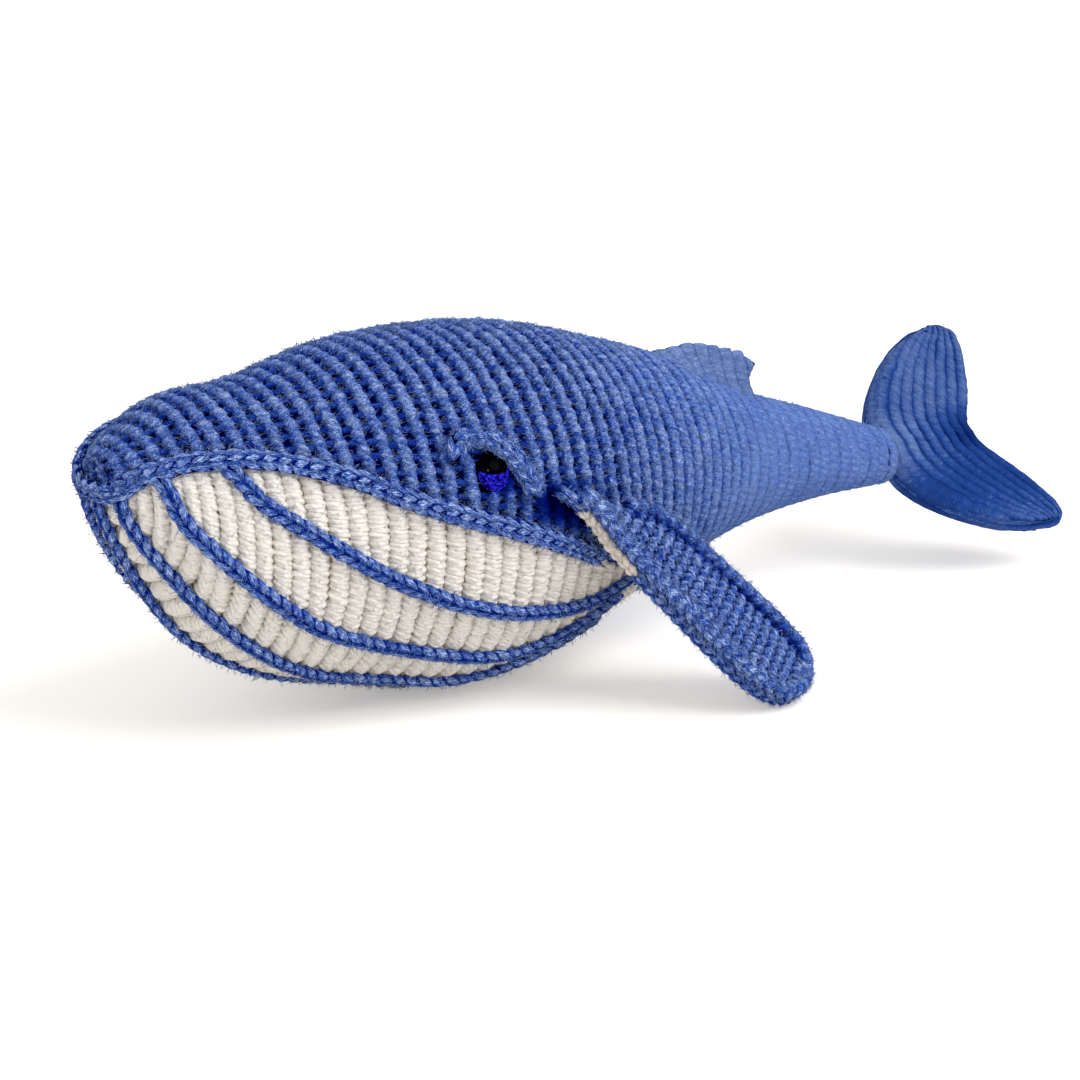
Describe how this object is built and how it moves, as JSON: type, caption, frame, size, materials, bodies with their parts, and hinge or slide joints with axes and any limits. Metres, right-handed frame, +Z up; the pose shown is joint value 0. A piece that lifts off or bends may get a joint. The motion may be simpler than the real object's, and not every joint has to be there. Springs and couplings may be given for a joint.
{
  "type": "crocheted whale plush toy",
  "caption": "Crocheted stuffed whale with a ribbed blue back, a cream throat crossed by braided lines, flapping flippers and a bending tail fluke.",
  "frame": {"origin": "on the floor, at the middle of the flat under the centre throat chain on which the belly rests", "axes": "+Z up, +Y from the nose towards the tail, +X towards the whale's left side"},
  "size_m": [0.1972, 0.4122, 0.1236],
  "materials": {
    "blue_yarn": "matte crocheted cotton yarn",
    "cream_yarn": "matte crocheted cotton yarn",
    "fibre_fill": "matte fibre stuffing",
    "blue_eye": "gloss over blue glitter",
    "black_washer": "satin black"
  },
  "bodies": {
    "whale_body": {"back_panel": "blue_yarn", "belly_panel": "cream_yarn", "body_stuffing": "fibre_fill", "mouth_chain": "blue_yarn", "throat_chain_centre": "blue_yarn", "throat_chain_left_1": "blue_yarn", "throat_chain_left_2": "blue_yarn", "throat_chain_left_3": "blue_yarn", "throat_chain_right_1": "blue_yarn", "throat_chain_right_2": "blue_yarn", "throat_chain_right_3": "blue_yarn", "left_eye": "blue_eye", "right_eye": "blue_eye", "left_eye_washer": "black_washer", "right_eye_washer": "black_washer", "left_eyelid": "blue_yarn", "right_eyelid": "blue_yarn", "dorsal_fin": "blue_yarn"},
    "left_flipper": {"left_flipper_top": "blue_yarn", "left_flipper_lining": "cream_yarn", "left_flipper_edging": "blue_yarn"},
    "right_flipper": {"right_flipper_top": "blue_yarn", "right_flipper_lining": "cream_yarn", "right_flipper_edging": "blue_yarn"},
    "flukes": {"flukes_upper_panel": "blue_yarn", "flukes_lower_panel": "blue_yarn"}
  },
  "joints": [
    {"name": "left_flipper_flap", "type": "hinge", "parent": "whale_body", "child": "left_flipper", "pos_m": [0.05407, 0.02791, 0.07022], "axis": [0.1073, -0.9433, 0.3142], "range_deg": [-15, 75], "stiffness_Nm_per_rad": 0.3},
    {"name": "right_flipper_flap", "type": "hinge", "parent": "whale_body", "child": "right_flipper", "pos_m": [-0.05407, 0.02791, 0.07022], "axis": [0.1073, 0.9433, -0.3142], "range_deg": [-15, 75], "stiffness_Nm_per_rad": 0.3},
    {"name": "flukes_bend", "type": "hinge", "parent": "whale_body", "child": "flukes", "pos_m": [0, 0.2227, 0.04561], "axis": [0.7254, 0, -0.6884], "range_deg": [-25, 25], "stiffness_Nm_per_rad": 0.3}
  ]
}
